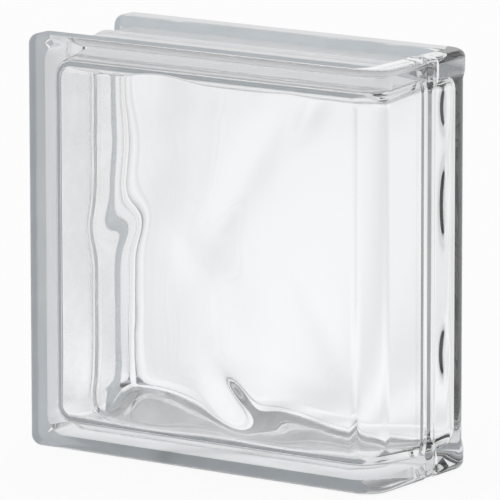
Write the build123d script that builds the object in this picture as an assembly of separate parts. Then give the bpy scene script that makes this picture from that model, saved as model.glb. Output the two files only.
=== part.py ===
from build123d import *
import math
import os

# Overall size, standing on the bottom mortar edge, with the finished end towards +X
block_width = 190.0
block_height = 190.0
block_depth = 80.0

# Mortar edge: a lip along each face and a sunk channel between them, on the left, top and bottom
lip_width = 12.5
lip_flare = 2.5
lip_corner_radius = 5.0
lip_edge_radius = 3.5
lip_tip_radius = 2.0
channel_depth = 4.4
channel_corner_radius = 9.0

# Finished end: rounded in plan, with a shallow panel between two rims, closing the channels off
end_radius = 13.0
end_recess = 1.1
rim_height = 9.0
rim_slope = 4.0
end_wall_top = 10.0
end_wall_foot = 17.0

# Glass left round the sealed cavity, whose walls lean outwards to the seam
face_thickness = 7.0
seam_wall = 4.4
end_seam_wall = 6.5
wall_draft = 4.0
end_wall_draft = 1.0
cavity_radius = 8.5

# Waves pressed into the inside of each face: a sheet of glass with seven soft ridges, each with the place of
# its middle across and up the face, how far it leans over, its height, its half width and its half length
wave_rise = 0.5
wave_height = 2.2
wave_width = 15.0
wave_reach = 55.0
wave_grid = 5.0
ridge_across_shares = [0.063, 0.2, -0.17, -0.26, -0.13, 0.12, -0.16]
ridge_up_shares = [0.19, 0.126, 0.116, 0.558, 0.937, 0.71, 0.674]
ridge_leans = [140, 100, 90, 60, 15, 32, 40]
ridge_height_shares = [0.9, 0.73, 1, 0.55, 1, 0.45, 0.55]
ridge_width_shares = [0.5, 0.87, 0.87, 0.6, 1, 0.6, 0.93]
ridge_reach_shares = [0.25, 0.47, 0.55, 0.25, 0.47, 1, 0.36]

# Bead where the two halves are fused, outside and inside, and how far it lies behind the middle
seam_set = 5.0
seam_width = 8.0
seam_root = 0.6
inner_seam_width = 7.0
inner_seam_height = 1.5
inner_seam_root = 0.6
seam_bend_radius = 3.0
groove_width = 9.0

# How far a cutting shape reaches past what it cuts, and how near two places count as one
overrun = 1.0
nearness = 0.001

half_width = block_width / 2
half_depth = block_depth / 2
mid_height = block_height / 2
panel_reach = half_width - end_recess
cavity_inset = channel_depth + seam_wall
cavity_left = cavity_inset - half_width
cavity_right = panel_reach - end_seam_wall
floor_depth = half_depth - face_thickness
mid_axis = Axis((0, 0, mid_height), (1, 0, 0))


def plan(reach):
    """One half seen from above: square at the mortar edge, rounded at a finished end this far out."""
    outline = Rectangle(half_width + reach, half_depth, align=(Align.MIN, Align.MAX))
    outline = Pos(-half_width, 0) * outline
    corner = outline.vertices().sort_by(Axis.Y)[:2].sort_by(Axis.X)[-1]
    return fillet(corner, end_radius)


def is_outer_rim(edge):
    """True for the edges that run round the face and over the finished end, and not for those at the seam."""
    box = edge.bounding_box()
    level = box.max.Z - box.min.Z < nearness
    outermost = box.max.Z > block_height - nearness or box.min.Z < nearness
    on_face = box.max.Y < nearness - half_depth
    at_left = box.min.X < nearness - half_width
    at_seam = box.min.Y > -nearness
    across_lip = at_left and not on_face
    return (level and outermost or on_face and at_left) and not at_seam and not across_lip


def blank_half():
    """The half without channels: a slab whose finished end steps in to the panel between the rims."""
    levels = [0, rim_height, rim_height + rim_slope]
    levels += [block_height - level for level in reversed(levels)]
    reaches = [half_width, half_width, panel_reach, panel_reach, half_width, half_width]
    slab = loft([Pos(0, 0, level) * plan(reach) for level, reach in zip(levels, reaches)], ruled=True)
    slab = fillet(slab.edges().filter_by(Axis.Y).group_by(Axis.X)[0], lip_corner_radius)
    return fillet(slab.edges().filter_by(is_outer_rim), lip_edge_radius)


def edges_at(shape, axis, place):
    """The edges of a shape whose middles lie at one place along an axis."""
    return shape.edges().filter_by_position(axis, place - nearness, place + nearness)


def face_section(depth, inset, corner_radius):
    """A section parallel to the face, inset from the mortar edges and running past the finished end."""
    width = block_width - inset + overrun
    outline = Rectangle(width, block_height - 2 * inset)
    outline = fillet(outline.vertices().group_by(Axis.X)[0], corner_radius)
    middle = (half_width + overrun - width / 2, depth, mid_height)
    return Plane(middle, x_dir=(1, 0, 0), z_dir=(0, -1, 0)) * outline


def channelled_half():
    """The half with its lip, its half of the mortar channel and the wall that closes the channel's end."""
    lip_depth = lip_width - half_depth
    lip_foot = lip_depth + lip_flare
    lip_brow = lip_depth - lip_flare * overrun / channel_depth
    outer_radius = lip_corner_radius + overrun
    core = loft(
        [
            face_section(-half_depth - overrun, -overrun, outer_radius),
            face_section(lip_brow, -overrun, outer_radius),
            face_section(lip_foot, channel_depth, channel_corner_radius),
            face_section(0, channel_depth, channel_corner_radius),
        ],
        ruled=True,
    )
    wall_top = half_width - end_wall_top
    wall_foot = half_width - end_wall_foot
    wall_brow = wall_top + (wall_top - wall_foot) * overrun / channel_depth
    lower = [(wall_brow, -overrun), (wall_foot, channel_depth)]
    upper = [(x, block_height - z) for x, z in reversed(lower)]
    outside = [(half_width + overrun, block_height + overrun), (half_width + overrun, -overrun)]
    wall_outline = Plane.XZ * make_face(Polyline(*lower, *upper, *outside, close=True))
    end_wall = extrude(wall_outline, half_depth + overrun)
    half = blank_half() & (core + end_wall)
    return fillet(edges_at(half, Axis.Y, lip_depth) + edges_at(half, Axis.X, wall_top), lip_tip_radius)


def ridge(x, z, middle_x, middle_z, lean, height, width, reach):
    """How far one ridge stands up at a place across and up the block."""
    turn = math.radians(lean)
    aside = (x - middle_x) * math.cos(turn) - (z - middle_z) * math.sin(turn)
    along = (x - middle_x) * math.sin(turn) + (z - middle_z) * math.cos(turn)
    return height * math.exp(-((aside / width) ** 2) - (along / reach) ** 2)


def wave(x, z):
    """How far the ridges together stand up at a place across and up the block."""
    across = [share * block_width for share in ridge_across_shares]
    up = [share * block_height for share in ridge_up_shares]
    heights = [share * wave_height for share in ridge_height_shares]
    widths = [share * wave_width for share in ridge_width_shares]
    reaches = [share * wave_reach for share in ridge_reach_shares]
    ridges = zip(across, up, ridge_leans, heights, widths, reaches)
    return sum(ridge(x, z, *values) for values in ridges)


def waved_sheet():
    """The waved glass on the inside of the front face, running out past the walls of the hollow."""
    low_x = cavity_left - overrun
    high_x = cavity_right + overrun
    low_z = cavity_inset - overrun
    high_z = block_height - low_z
    columns = math.ceil((high_x - low_x) / wave_grid)
    rows = math.ceil((high_z - low_z) / wave_grid)
    points = []
    for row in range(rows + 1):
        z = low_z + (high_z - low_z) * row / rows
        across = [low_x + (high_x - low_x) * column / columns for column in range(columns + 1)]
        points.append([Vector(x, wave_rise + wave(x, z) - floor_depth, z) for x in across])
    waved_face = Face.make_surface_from_array_of_points(points)
    return Solid.extrude(waved_face, Vector(0, -2 * (wave_rise + wave_height), 0))


def seam_groove():
    """The strip cut back across the rims of the finished end, where the fused bead lies flush."""
    strip = Box(block_width, groove_width, block_height, align=(Align.CENTER, Align.CENTER, Align.MIN))
    strip = Pos(0, seam_set, 0) * strip
    kept_height = block_height - 2 * end_recess
    kept = Box(block_width, block_depth, kept_height, align=(Align.MAX, Align.CENTER, Align.MIN))
    return strip - Pos(panel_reach, 0, end_recess) * kept


def bead(corners, radii, width, height):
    """A fused bead of domed section round a closed path in the plane of the seam; height counts inwards."""
    seam_plane = Plane((0, seam_set, 0), x_dir=(1, 0, 0), z_dir=(0, -1, 0))
    path = seam_plane * FilletPolyline(*corners, radius=radii, close=True)
    section_plane = Plane(path @ 0, x_dir=(0, 1, 0), z_dir=path % 0)
    left_foot = (-width / 2, 0)
    right_foot = (width / 2, 0)
    dome = ThreePointArc(left_foot, (0, height), right_foot)
    return sweep(section_plane * make_face([dome, Line(right_foot, left_foot)]), path)


def outer_bead():
    """The bead outside: along the channel floors, up the end walls and down the finished end."""
    floor_inset = channel_depth + seam_root
    wall_inset = end_recess + seam_root
    wall_foot = half_width - end_wall_foot
    wall_slope = (end_wall_foot - end_wall_top) / channel_depth
    wall_brow = wall_foot + wall_slope * (channel_depth - end_recess)
    lower = [
        (floor_inset - half_width, floor_inset),
        (wall_foot, floor_inset),
        (wall_brow, wall_inset),
        (half_width - wall_inset, wall_inset),
    ]
    upper = [(x, block_height - z) for x, z in reversed(lower)]
    turns = [channel_corner_radius - seam_root, seam_bend_radius, seam_bend_radius, seam_bend_radius]
    return bead(lower + upper, turns + turns[::-1], seam_width, -end_recess - seam_root)


def inner_bead():
    """The bead inside, round the mouth where the two hollows meet."""
    inset = cavity_inset - inner_seam_root
    left = cavity_left - inner_seam_root
    right = cavity_right + inner_seam_root
    corners = [(left, inset), (right, inset), (right, block_height - inset), (left, block_height - inset)]
    turn = cavity_radius + inner_seam_root
    return bead(corners, turn, inner_seam_width, inner_seam_height + inner_seam_root)


def drafted_outline(low, high, high_draft):
    """A section through the hollow: widest at the seam, drawn in by the draft of each side to the faces."""
    low_slope = math.tan(math.radians(wall_draft))
    high_slope = math.tan(math.radians(high_draft))
    corners = [(low, seam_set)]
    for depth in (-floor_depth, floor_depth):
        run = abs(depth - seam_set)
        ends = [(low + run * low_slope, depth), (high - run * high_slope, depth)]
        corners += ends if depth < seam_set else [(high, seam_set)] + ends[::-1]
    return make_face(Polyline(*corners, close=True))


def cavity():
    """The sealed hollow: drafted walls from the seam down to rounded floors, with the waves on them."""
    across = extrude(drafted_outline(cavity_left, cavity_right, end_wall_draft), block_height)
    side_plane = Plane((half_width, 0, 0), x_dir=(0, 0, 1), z_dir=(-1, 0, 0))
    side_outline = drafted_outline(cavity_inset, block_height - cavity_inset, wall_draft)
    upright = extrude(side_plane * side_outline, block_width)
    hollow = across & upright
    floors = (-floor_depth, floor_depth)
    corners = [edge for depth in floors for edge in edges_at(hollow, Axis.Y, (depth + seam_set) / 2)]
    floor_edges = [edge for depth in floors for edge in edges_at(hollow, Axis.Y, depth)]
    hollow = fillet(corners + floor_edges, cavity_radius)
    front_sheet = waved_sheet()
    back_sheet = front_sheet.rotate(mid_axis, 180)
    return hollow - front_sheet - back_sheet - inner_bead()


front = channelled_half()
back = front.rotate(mid_axis, 180)
glass_block = front + back - seam_groove() + outer_bead() - cavity()
os.makedirs("parts", exist_ok=True)
export_step(glass_block, "parts/glass_block.step")
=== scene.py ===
import math

import bmesh
import bpy
import numpy as np
from mathutils import Matrix, Vector


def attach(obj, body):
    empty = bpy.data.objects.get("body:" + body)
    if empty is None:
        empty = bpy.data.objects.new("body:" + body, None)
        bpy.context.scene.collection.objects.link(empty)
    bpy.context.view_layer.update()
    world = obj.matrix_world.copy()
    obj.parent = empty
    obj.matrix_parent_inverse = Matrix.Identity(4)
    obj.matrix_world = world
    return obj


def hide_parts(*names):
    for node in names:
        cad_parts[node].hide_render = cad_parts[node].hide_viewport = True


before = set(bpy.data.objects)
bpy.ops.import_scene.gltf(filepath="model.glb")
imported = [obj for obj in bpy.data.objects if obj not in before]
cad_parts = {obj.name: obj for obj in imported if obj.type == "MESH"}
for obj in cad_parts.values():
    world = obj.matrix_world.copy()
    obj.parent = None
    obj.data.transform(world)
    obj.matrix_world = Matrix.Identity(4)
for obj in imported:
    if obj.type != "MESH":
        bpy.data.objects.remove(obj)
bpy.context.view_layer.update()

# Sizes in millimetres, as the part's source gives them: the block, and its hollow with the bead and the waves.
# Each fold is a ridge: its middle across and up the face, its lean in degrees, height, half width and half length
MM = 0.001
HALF_WIDTH, HEIGHT = 95.0, 190.0
LEFT, RIGHT, INSET = -86.2, 87.4, 8.8
FLOOR_DEPTH = 33.0
DRAFT, END_DRAFT = math.radians(4.0), math.radians(1.0)
RADIUS = 8.5
SEAM_WIDTH, SEAM_HEIGHT, SEAM_ROOT, SEAM_SET = 7.0, 1.5, 0.6, 5.0
WAVE_RISE, THINNEST = 0.5, 0.05
FOLDS = (
    (12, 36, 140, 2.0, 7.5, 14),
    (38, 24, 100, 1.6, 13, 26),
    (-32, 22, 90, 2.2, 13, 30),
    (-50, 106, 60, 1.2, 9, 14),
    (-24, 178, 15, 2.2, 15, 26),
    (22, 135, 32, 1.0, 9, 55),
    (-30, 128, 40, 1.2, 14, 20),
)

# Low swells on the inside of the finished end's wall, here alone: the middle of each up the block, and its reach
SWELLS = ((166, 11), (122, 18), (54, 12))
SWELL_HEIGHT, SWELL_DEPTH, SWELL_WIDTH = 1.3, 23.5, 5.0

# How finely the hollow is meshed: the step across its faces, and the counts of points round a corner and of rings
STEP, CORNER_STEPS = 1.2, 7
FACE_RINGS, ROUND_RINGS, WALL_RINGS, BEAD_RINGS = 5, 9, 12, 13
# Finding where a face meets its rounding: how often it is tried, the first try and the most, as shares of the radius
TRIES, FIRST_TRY, MOST_RISE = 30, 0.7, 0.95
WELD = 1e-7
SMOOTH_ANGLE = math.radians(38)

# Clear glass, with a faint ripple
GLASS_TINT, GLASS_IOR = (0.984, 0.989, 0.995), 1.52
RIPPLE_SCALE, RIPPLE_DETAIL, RIPPLE_HEIGHT = 45.0, 1.0, 0.00012

# Milky coats: the name, the tone, how much of the light comes through, seen from outside and from inside, how much
# of the glass is left bare, and how much sheen there is
COATS = (
    # The slope coat is the floor coat's milk darkened: painted shade on the slopes, where less light reaches
    ("milky_slope_painted_shade", (0.735, 0.785, 0.825), (0.3, 0.5), 0.15, 0.0),
    ("milky_floor", (0.965, 0.985, 1.0), (0.0, 0.97), 0.95, 1.0),
    # The lip coat is the milk darkened further: painted shade on the lip tops, set against the brighter light from
    # above
    ("milky_lip_painted_shade", (0.66, 0.705, 0.745), (0.3, 0.5), 0.15, 0.15),
)
# The slope and lip coats carry painted shade in their darker tones
CLEAR, SHADED_SLOPE, CHANNEL, LIP = range(4)
PATCH_SCALE, PATCH_DETAIL, PATCH_LEVELS = 60.0, 4.0, (0.3, 0.7)
PATCH_TONE, PATCH_BARE = 0.92, (0.85, 1.15)
COAT_GLANCE, COAT_IOR, COAT_ROUGHNESS = 1.2, 1.5, 0.2
# Where the coats lie, in millimetres: how far from the middle of the depth, from the mortar edge and along
COAT_EDGE, COAT_FOOT, COAT_END = 37.0, 6.0, 80.0
LIP_BROW, LIP_FOOT = 27.6, 24.6

# Backdrop: white, with a ring of soft panels, and dimmer after reflections inside the glass. The overhead and the
# floor go from 1 at the first place to the last number at the second
INSIDE_DIM, INSIDE_BOUNCES = 0.12, 5.0
PANELS, PANEL_TURN, PANEL_GAP = 12, math.radians(-31.25), 0.15
OVERHEAD = (0.3, 0.8, 0.8)
FLOOR_FALL = (0.2, 1.2, 0.92)
FLOOR_SPAN, FLOOR_DROP, FLOOR_WHITE, FLOOR_ROUGHNESS = 6.0, 0.0002, 0.9, 0.9
FLOOR_TONE = (0.98, 0.98, 0.98)
WHITE = (1, 1, 1, 1)

# Camera, fitted to the outline in the photograph: angles, distance and shifts in metres, focal length in pixels
AZIMUTH, ELEVATION, ROLL = math.radians(34.756), math.radians(11.066), math.radians(-0.083)
DISTANCE, PAN_X, PAN_Y = 2.979, 0.000096, -0.000535
FOCAL, IMAGE_WIDTH, SENSOR_WIDTH, CLIP_END = 6619.7, 500, 36.0, 100
BOUNCES, GLOSSY_BOUNCES = 32, 16


def wave(x, z):
    """How far the ridges together stand up at places across and up the front face."""
    total = 0 * x
    for across, above, lean, height, width, reach in FOLDS:
        cosine, sine = math.cos(math.radians(lean)), math.sin(math.radians(lean))
        aside = (x - across) * cosine - (z - above) * sine
        along = (x - across) * sine + (z - above) * cosine
        total = total + height * np.exp(-((aside / width) ** 2) - (along / reach) ** 2)
    return total


def sheet(x, z, side):
    """How far the waved glass stands up on one face: the front for side -1, and the same turned over for side 1."""
    return np.maximum(WAVE_RISE + wave(x, z if side < 0 else HEIGHT - z), THINNEST)


def swell(y, z):
    """How far the inside of the finished end's wall swells behind the seam."""
    across = ((y - SWELL_DEPTH) / SWELL_WIDTH) ** 2
    return sum(SWELL_HEIGHT * np.exp(-across - ((z - middle) / reach) ** 2) for middle, reach in SWELLS)


def rim(bottom, right, top, left, corners):
    """One run of values round the rim of the hollow, with those of a corner after each side."""
    sides = (bottom, right, top, left)
    return np.concatenate([run for pair in zip(sides, corners) for run in pair])


def wall_levels(reach):
    """How far from the seam the rings of a wall lie: those of the plain wall, and closer ones over the bead."""
    plain = np.linspace(reach, SEAM_WIDTH / 2, WALL_RINGS + 2)[1:-1]
    return np.concatenate([plain, np.linspace(SEAM_WIDTH / 2, 0, BEAD_RINGS)])


def hollow_mesh():
    """Points in millimetres and faces of the hollow's surface: rings from face to face, and a grid on each face."""
    columns = round((RIGHT - LEFT) / STEP)
    rows = round((HEIGHT - 2 * INSET) / STEP)
    turn = (np.arange(CORNER_STEPS) + 0.5) / CORNER_STEPS * math.pi / 2
    s, c = np.sin(turn), np.cos(turn)
    flat_x, flat_z, one = np.zeros(columns + 1), np.zeros(rows + 1), np.ones(CORNER_STEPS)
    # Which way outwards lies at each point of the rim, and which of the walls it belongs to
    out_x = rim(flat_x, flat_z + 1, flat_x, flat_z - 1, (s, c, -s, -c))
    out_z = rim(flat_x - 1, flat_z, flat_x + 1, flat_z, (-c, s, c, -s))
    wall_x = rim(flat_x, flat_z + 1, flat_x, flat_z - 1, (one, one, -one, -one))
    wall_z = rim(flat_x - 1, flat_z, flat_x + 1, flat_z, (-one, one, one, -one))
    slope_x = np.where(wall_x > 0, math.tan(END_DRAFT), math.tan(DRAFT))
    slope = np.sqrt((out_x * slope_x) ** 2 + (out_z * math.tan(DRAFT)) ** 2)
    draft = np.arctan(slope)
    count = len(out_x)
    bead_rise = SEAM_HEIGHT + SEAM_ROOT
    dome = (SEAM_WIDTH ** 2 / 4 + bead_rise ** 2) / (2 * bead_rise)
    rings = []
    grids = []
    for side in (-1, 1):
        reach = FLOOR_DEPTH - RADIUS - side * SEAM_SET
        mortar_run = reach * math.tan(DRAFT) + RADIUS / math.cos(DRAFT)
        end_run = reach * math.tan(END_DRAFT) + RADIUS / math.cos(END_DRAFT)
        xs = np.linspace(LEFT + mortar_run, RIGHT - end_run, columns + 1)
        zs = np.linspace(INSET + mortar_run, HEIGHT - INSET - mortar_run, rows + 1)
        right, left, low, high = one * xs[-1], one * xs[0], one * zs[0], one * zs[-1]
        base_x = rim(xs, flat_z + xs[-1], xs[::-1], flat_z + xs[0], (right, right, left, left))
        base_z = rim(flat_x + zs[0], zs, flat_x + zs[-1], zs[::-1], (low, high, high, low))
        # Where the waved inside of the face meets the rounding at its rim
        out = np.full(count, RADIUS * FIRST_TRY)
        for _ in range(TRIES):
            rise = np.minimum(sheet(base_x + out_x * out, base_z + out_z * out, side), RADIUS * MOST_RISE)
            out = (out + np.sqrt(RADIUS ** 2 - (RADIUS - rise) ** 2)) / 2
        meets = np.arccos(np.clip(out / RADIUS, -1, 1))
        half = []
        for share in np.linspace(0, 1, FACE_RINGS, endpoint=False):
            x, z = base_x + out_x * out * share, base_z + out_z * out * share
            half.append((x, side * (FLOOR_DEPTH - sheet(x, z, side)), z))
        for share in np.linspace(0, 1, ROUND_RINGS):
            angle = meets + (draft - meets) * share
            here = RADIUS * np.cos(angle)
            y = side * (FLOOR_DEPTH - RADIUS + RADIUS * np.sin(angle))
            half.append((base_x + out_x * here, y, base_z + out_z * here))
        for gap in wall_levels(reach):
            run = reach - gap
            bead = SEAM_HEIGHT - dome + math.sqrt(dome ** 2 - min(gap, dome) ** 2)
            here = RADIUS / np.cos(draft) - np.maximum(bead - gap * slope, 0)
            x = base_x + wall_x * slope_x * run + out_x * here
            z = base_z + wall_z * math.tan(DRAFT) * run + out_z * here
            half.append((x, np.full(count, SEAM_SET + side * gap), z))
        if side > 0:
            half = [(x - swell(y, z) * np.clip(out_x, 0, 1) ** 2, y, z) for x, y, z in half]
        half = [np.stack(ring, -1) for ring in half]
        rings += half if side < 0 else half[-2::-1]
        grid_x, grid_z = np.meshgrid(xs, zs)
        grid_y = side * (FLOOR_DEPTH - sheet(grid_x, grid_z, side))
        grids.append(np.stack([grid_x, grid_y, grid_z], -1).reshape(-1, 3))
    faces = []
    index = np.arange(count)
    after = (index + 1) % count
    for k in range(len(rings) - 1):
        a, b = k * count, (k + 1) * count
        faces += np.stack([a + index, a + after, b + after, b + index], -1).tolist()
    total = len(rings) * count
    for grid in grids:
        cell = total + np.arange(len(grid)).reshape(rows + 1, columns + 1)
        total += len(grid)
        corners = [cell[:-1, :-1], cell[:-1, 1:], cell[1:, 1:], cell[1:, :-1]]
        faces += np.stack(corners, -1).reshape(-1, 4).tolist()
    return np.concatenate(rings + grids), faces


def welded_hollow():
    """The hollow's surface in metres, with its doubled points joined and every normal towards the hollow."""
    points, faces = hollow_mesh()
    bm = bmesh.new()
    verts = [bm.verts.new(point) for point in points * MM]
    for face in faces:
        bm.faces.new([verts[v] for v in face])
    bmesh.ops.remove_doubles(bm, verts=bm.verts, dist=WELD)
    bmesh.ops.dissolve_degenerate(bm, edges=bm.edges, dist=WELD)
    bmesh.ops.recalc_face_normals(bm, faces=bm.faces)
    bmesh.ops.reverse_faces(bm, faces=bm.faces)
    bm.verts.index_update()
    points = np.array([v.co for v in bm.verts])
    faces = [tuple(v.index for v in f.verts) for f in bm.faces]
    bm.free()
    return points, faces


def outer_skin(node):
    """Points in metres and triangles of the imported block's outer skin: all that hangs together with its left side."""
    bm = bmesh.new()
    bm.from_mesh(node.data)
    bmesh.ops.remove_doubles(bm, verts=bm.verts, dist=WELD)
    bm.verts.ensure_lookup_table()
    bm.verts.index_update()
    seed = min(bm.verts, key=lambda v: v.co.x)
    seen = {seed.index}
    stack = [seed]
    while stack:
        vert = stack.pop()
        for edge in vert.link_edges:
            other = edge.other_vert(vert)
            if other.index not in seen:
                seen.add(other.index)
                stack.append(other)
    kept = sorted(seen)
    new = {old: k for k, old in enumerate(kept)}
    points = np.array([bm.verts[k].co for k in kept])
    faces = [tuple(new[v.index] for v in f.verts) for f in bm.faces if f.verts[0].index in seen]
    bm.free()
    return points, faces


def corner_normals(points, faces):
    """A normal for every corner of every triangle: the mean of the faces there that nearly agree with it, by area."""
    triangles = np.array(faces)
    a, b, c = points[triangles[:, 0]], points[triangles[:, 1]], points[triangles[:, 2]]
    area = np.cross(b - a, c - a)
    unit = area / np.maximum(np.linalg.norm(area, axis=1, keepdims=True), 1e-30)
    around = [[] for _ in range(len(points))]
    for k, face in enumerate(faces):
        for v in face:
            around[v].append(k)
    normals = np.zeros((len(faces), 3, 3))
    for v, members in enumerate(around):
        members = np.array(members)
        near = (unit[members] @ unit[members].T) > math.cos(SMOOTH_ANGLE)
        mean = near.astype(float) @ area[members]
        mean /= np.maximum(np.linalg.norm(mean, axis=1, keepdims=True), 1e-30)
        for k, normal in zip(members, mean):
            normals[k, faces[k].index(v)] = normal
    return normals.reshape(-1, 3)


def coats_of_skin(points, faces):
    """The material of each face of the skin: one of the coats on the mortar edges, or clear glass."""
    x, y, z = (points[np.array(faces)].mean(1) / MM).T
    edge_x = x + HALF_WIDTH
    edge_z = np.minimum(z, HEIGHT - z)
    aside = np.abs(y)
    reach = np.where((edge_z < edge_x) | (y < 0), COAT_EDGE, LIP_BROW)
    coated = (aside < reach) & (np.minimum(edge_x, edge_z) < COAT_FOOT) & (x < COAT_END)
    # The slopes get the darker milky coat, with painted shade in its tone
    coat = np.full(len(faces), SHADED_SLOPE)
    coat[aside < LIP_FOOT] = CHANNEL
    # The lip tops get the darker lip coat, with painted shade in its tone
    coat[aside > LIP_BROW] = LIP
    coat[y > LIP_BROW] = CHANNEL
    return np.where(coated, coat, CLEAR)


def math_node(nodes, links, operation, *values):
    """A math node of one operation on values that are numbers or the outputs of other nodes."""
    node = nodes.new("ShaderNodeMath")
    node.operation = operation
    for socket, value in zip(node.inputs, values):
        if isinstance(value, bpy.types.NodeSocket):
            links.new(value, socket)
        else:
            socket.default_value = value
    return node


def range_node(nodes, links, value, start, end, first, last):
    """A node that goes from the first to the last number while a value goes from start to end."""
    node = nodes.new("ShaderNodeMapRange")
    links.new(value, node.inputs["Value"])
    for name, number in zip(("From Min", "From Max", "To Min", "To Max"), (start, end, first, last)):
        node.inputs[name].default_value = number
    return node


def noise_node(nodes, links, scale, detail):
    """A noise over the surface of the object."""
    place = nodes.new("ShaderNodeTexCoord")
    noise = nodes.new("ShaderNodeTexNoise")
    noise.inputs["Scale"].default_value = scale
    noise.inputs["Detail"].default_value = detail
    links.new(place.outputs["Object"], noise.inputs["Vector"])
    return noise


def mix_shaders(nodes, links, share, first, second):
    """Two shaders mixed by the share of the second."""
    mix = nodes.new("ShaderNodeMixShader")
    links.new(share, mix.inputs["Fac"])
    links.new(first.outputs[0], mix.inputs[1])
    links.new(second.outputs[0], mix.inputs[2])
    return mix


def new_material(name):
    material = bpy.data.materials.new(name)
    material.use_nodes = True
    return material, material.node_tree.nodes, material.node_tree.links


def glass_material():
    """Clear glass with the faint ripple of a pressed surface."""
    material, nodes, links = new_material("clear_glass")
    shader = nodes["Principled BSDF"]
    shader.inputs["Base Color"].default_value = (*GLASS_TINT, 1)
    shader.inputs["Roughness"].default_value = 0.0
    shader.inputs["IOR"].default_value = GLASS_IOR
    shader.inputs["Transmission Weight"].default_value = 1.0
    ripple = noise_node(nodes, links, RIPPLE_SCALE, RIPPLE_DETAIL)
    bump = nodes.new("ShaderNodeBump")
    bump.inputs["Strength"].default_value = 1.0
    bump.inputs["Distance"].default_value = RIPPLE_HEIGHT
    links.new(ripple.outputs["Fac"], bump.inputs["Height"])
    links.new(bump.outputs["Normal"], shader.inputs["Normal"])
    return material


def coating_material(name, tone, through_shares, bare_share, sheen):
    """A thin milky coat on glass, patchy at the scale of a brush, that leaves some of the glass bare."""
    material, nodes, links = new_material(name)
    nodes.remove(nodes["Principled BSDF"])
    inside = nodes.new("ShaderNodeNewGeometry").outputs["Backfacing"]
    patches = noise_node(nodes, links, PATCH_SCALE, PATCH_DETAIL).outputs["Fac"]
    # The tone comes from the table of coats; for the slope and lip coats it is darkened, painted shade
    colour = nodes.new("ShaderNodeValToRGB")
    for element, level, share in zip(colour.color_ramp.elements, PATCH_LEVELS, (PATCH_TONE, 1)):
        element.position = level
        element.color = (*(share * value for value in tone), 1)
    links.new(patches, colour.inputs["Fac"])
    paint = nodes.new("ShaderNodeBsdfDiffuse")
    through = nodes.new("ShaderNodeBsdfTranslucent")
    for shader in (paint, through):
        links.new(colour.outputs["Color"], shader.inputs["Color"])
    outer_share, inner_share = through_shares
    share = math_node(nodes, links, "MULTIPLY_ADD", inside, inner_share - outer_share, outer_share)
    milk = mix_shaders(nodes, links, share.outputs[0], paint, through)
    # Glass shows through where the coat is thin, and less at a glance
    glass = nodes.new("ShaderNodeBsdfGlass")
    glass.inputs["Roughness"].default_value = 0.0
    glass.inputs["IOR"].default_value = GLASS_IOR
    thin = range_node(nodes, links, patches, *PATCH_LEVELS, *(bare_share * value for value in PATCH_BARE))
    glancing = nodes.new("ShaderNodeLayerWeight")
    glancing.inputs["Blend"].default_value = 0.5
    facing = math_node(nodes, links, "MULTIPLY_ADD", glancing.outputs["Facing"], -COAT_GLANCE, 1.0)
    facing.use_clamp = True
    bare = math_node(nodes, links, "MULTIPLY", thin.outputs["Result"], facing.outputs[0])
    coat = mix_shaders(nodes, links, bare.outputs[0], milk, glass)
    # Sheen, on the outside alone
    gloss = nodes.new("ShaderNodeBsdfAnisotropic")
    gloss.inputs["Roughness"].default_value = COAT_ROUGHNESS
    fresnel = nodes.new("ShaderNodeFresnel")
    fresnel.inputs["IOR"].default_value = COAT_IOR
    outside = math_node(nodes, links, "MULTIPLY_ADD", inside, -sheen, sheen)
    share = math_node(nodes, links, "MULTIPLY", fresnel.outputs[0], outside.outputs[0])
    finish = mix_shaders(nodes, links, share.outputs[0], coat, gloss)
    links.new(finish.outputs[0], nodes["Material Output"].inputs["Surface"])
    return material


def backdrop_strength(nodes, links, path, fall, direction):
    """The backdrop's strength: a fall, times a ring of soft panels, times the loss in reflections inside the glass."""
    split = nodes.new("ShaderNodeSeparateXYZ")
    links.new(direction, split.inputs[0])
    panels = math_node(nodes, links, "ARCTAN2", split.outputs["X"], split.outputs["Y"])
    steps = (("SUBTRACT", PANEL_TURN), ("MULTIPLY", PANELS), ("COSINE",), ("MULTIPLY", PANEL_GAP / 2),
             ("ADD", 1 - PANEL_GAP / 2))
    for operation, *numbers in steps:
        panels = math_node(nodes, links, operation, panels.outputs[0], *numbers)
    fade = range_node(nodes, links, path.outputs["Glossy Depth"], 0.0, INSIDE_BOUNCES, 1.0, INSIDE_DIM)
    fade.interpolation_type = "SMOOTHSTEP"
    strength = math_node(nodes, links, "MULTIPLY", fall.outputs["Result"], fade.outputs["Result"])
    return math_node(nodes, links, "MULTIPLY", strength.outputs[0], panels.outputs[0])


def floor_material():
    """A pale floor that is part of the white backdrop where it is seen through the glass, and keeps a soft shadow."""
    material, nodes, links = new_material("floor_paint")
    matt = nodes["Principled BSDF"]
    matt.inputs["Base Color"].default_value = (*FLOOR_TONE, 1)
    matt.inputs["Roughness"].default_value = FLOOR_ROUGHNESS
    matt.inputs["Specular IOR Level"].default_value = 0.0
    path = nodes.new("ShaderNodeLightPath")
    place = nodes.new("ShaderNodeNewGeometry").outputs["Position"]
    away = nodes.new("ShaderNodeVectorMath")
    away.operation = "LENGTH"
    links.new(place, away.inputs[0])
    near, far, last = FLOOR_FALL
    fall = range_node(nodes, links, away.outputs["Value"], near, far, 1.0, last)
    backdrop = nodes.new("ShaderNodeEmission")
    backdrop.inputs["Color"].default_value = WHITE
    strength = backdrop_strength(nodes, links, path, fall, place)
    links.new(strength.outputs[0], backdrop.inputs["Strength"])
    seen_through = mix_shaders(nodes, links, path.outputs["Is Transmission Ray"], matt, backdrop)
    white = nodes.new("ShaderNodeEmission")
    white.inputs["Color"].default_value = WHITE
    share = math_node(nodes, links, "MULTIPLY", path.outputs["Is Camera Ray"], FLOOR_WHITE)
    whole = mix_shaders(nodes, links, share.outputs[0], seen_through, white)
    links.new(whole.outputs[0], nodes["Material Output"].inputs["Surface"])
    return material


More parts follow.
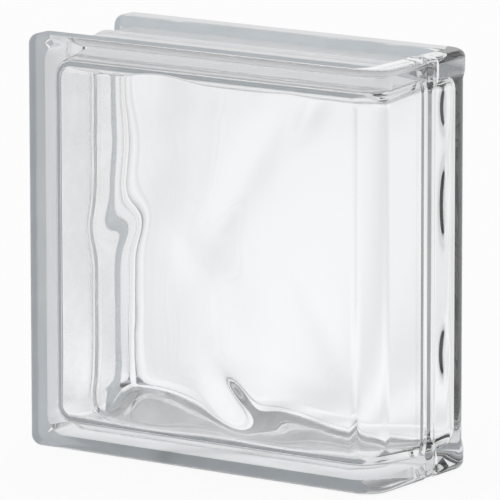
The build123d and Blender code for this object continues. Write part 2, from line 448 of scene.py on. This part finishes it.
def studio_world():
    """A world that is white round the horizon and a little greyer overhead, the same from every side."""
    world = bpy.data.worlds.new("studio")
    world.use_nodes = True
    nodes, links = world.node_tree.nodes, world.node_tree.links
    background = nodes["Background"]
    background.inputs["Color"].default_value = WHITE
    direction = nodes.new("ShaderNodeTexCoord").outputs["Generated"]
    split = nodes.new("ShaderNodeSeparateXYZ")
    links.new(direction, split.inputs[0])
    low, high, last = OVERHEAD
    overhead = range_node(nodes, links, split.outputs["Z"], low, high, 1.0, last)
    path = nodes.new("ShaderNodeLightPath")
    strength = backdrop_strength(nodes, links, path, overhead, direction)
    pick = nodes.new("ShaderNodeMix")
    pick.data_type = "FLOAT"
    links.new(path.outputs["Is Camera Ray"], pick.inputs[0])
    links.new(strength.outputs[0], pick.inputs[2])
    pick.inputs[3].default_value = 1.0
    links.new(pick.outputs[0], background.inputs["Strength"])
    return world


# The block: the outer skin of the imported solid, with its hollow meshed more finely
skin_points, skin_faces = outer_skin(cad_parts["glass_block"])
hollow_points, hollow_faces = welded_hollow()
shift = len(skin_points)
body_faces = skin_faces + [tuple(v + shift for v in face) for face in hollow_faces]
body = bpy.data.meshes.new("glass_body")
body.from_pydata(np.vstack([skin_points, hollow_points]).tolist(), [], body_faces)
body.polygons.foreach_set("use_smooth", [True] * len(body.polygons))
body.materials.append(glass_material())
for coat in COATS:
    body.materials.append(coating_material(*coat))
slots = np.full(len(body_faces), CLEAR)
slots[: len(skin_faces)] = coats_of_skin(skin_points, skin_faces)
body.polygons.foreach_set("material_index", slots)
body.update()
# A normal of zero leaves the hollow's own smooth normals as they are
skin_normals = corner_normals(skin_points, skin_faces)
normals = np.zeros((len(body.loops), 3))
normals[: len(skin_normals)] = skin_normals
body.normals_split_custom_set(normals.tolist())
block = bpy.data.objects.new("glass_body", body)
bpy.context.scene.collection.objects.link(block)
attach(block, "root")
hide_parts("glass_block")

# Floor and world
floor_corners = [(x * FLOOR_SPAN, y * FLOOR_SPAN, 0) for x, y in ((-1, -1), (1, -1), (1, 1), (-1, 1))]
floor_mesh = bpy.data.meshes.new("floor")
floor_mesh.from_pydata(floor_corners, [], [(0, 1, 2, 3)])
floor_mesh.materials.append(floor_material())
floor = bpy.data.objects.new("floor", floor_mesh)
floor.location.z = -FLOOR_DROP
bpy.context.scene.collection.objects.link(floor)
bpy.context.scene.world = studio_world()

# Camera
level = math.cos(ELEVATION)
back = Vector((math.sin(AZIMUTH) * level, -math.cos(AZIMUTH) * level, math.sin(ELEVATION)))
across = Vector((math.cos(AZIMUTH), math.sin(AZIMUTH), 0))
upright = back.cross(across)
right = across * math.cos(ROLL) + upright * math.sin(ROLL)
up = upright * math.cos(ROLL) - across * math.sin(ROLL)
place = Vector((0, 0, HEIGHT / 2 * MM)) + back * DISTANCE + right * PAN_X + up * PAN_Y
camera_data = bpy.data.cameras.new("camera")
camera_data.sensor_width = SENSOR_WIDTH
camera_data.lens = SENSOR_WIDTH * FOCAL / IMAGE_WIDTH
camera_data.clip_end = CLIP_END
camera = bpy.data.objects.new("camera", camera_data)
camera.matrix_world = Matrix.Translation(place) @ Matrix((right, up, back)).transposed().to_4x4()
bpy.context.scene.collection.objects.link(camera)
bpy.context.scene.camera = camera
bpy.context.scene.view_settings.view_transform = "Standard"
bpy.context.scene.cycles.max_bounces = BOUNCES
bpy.context.scene.cycles.transmission_bounces = BOUNCES
bpy.context.scene.cycles.glossy_bounces = GLOSSY_BOUNCES
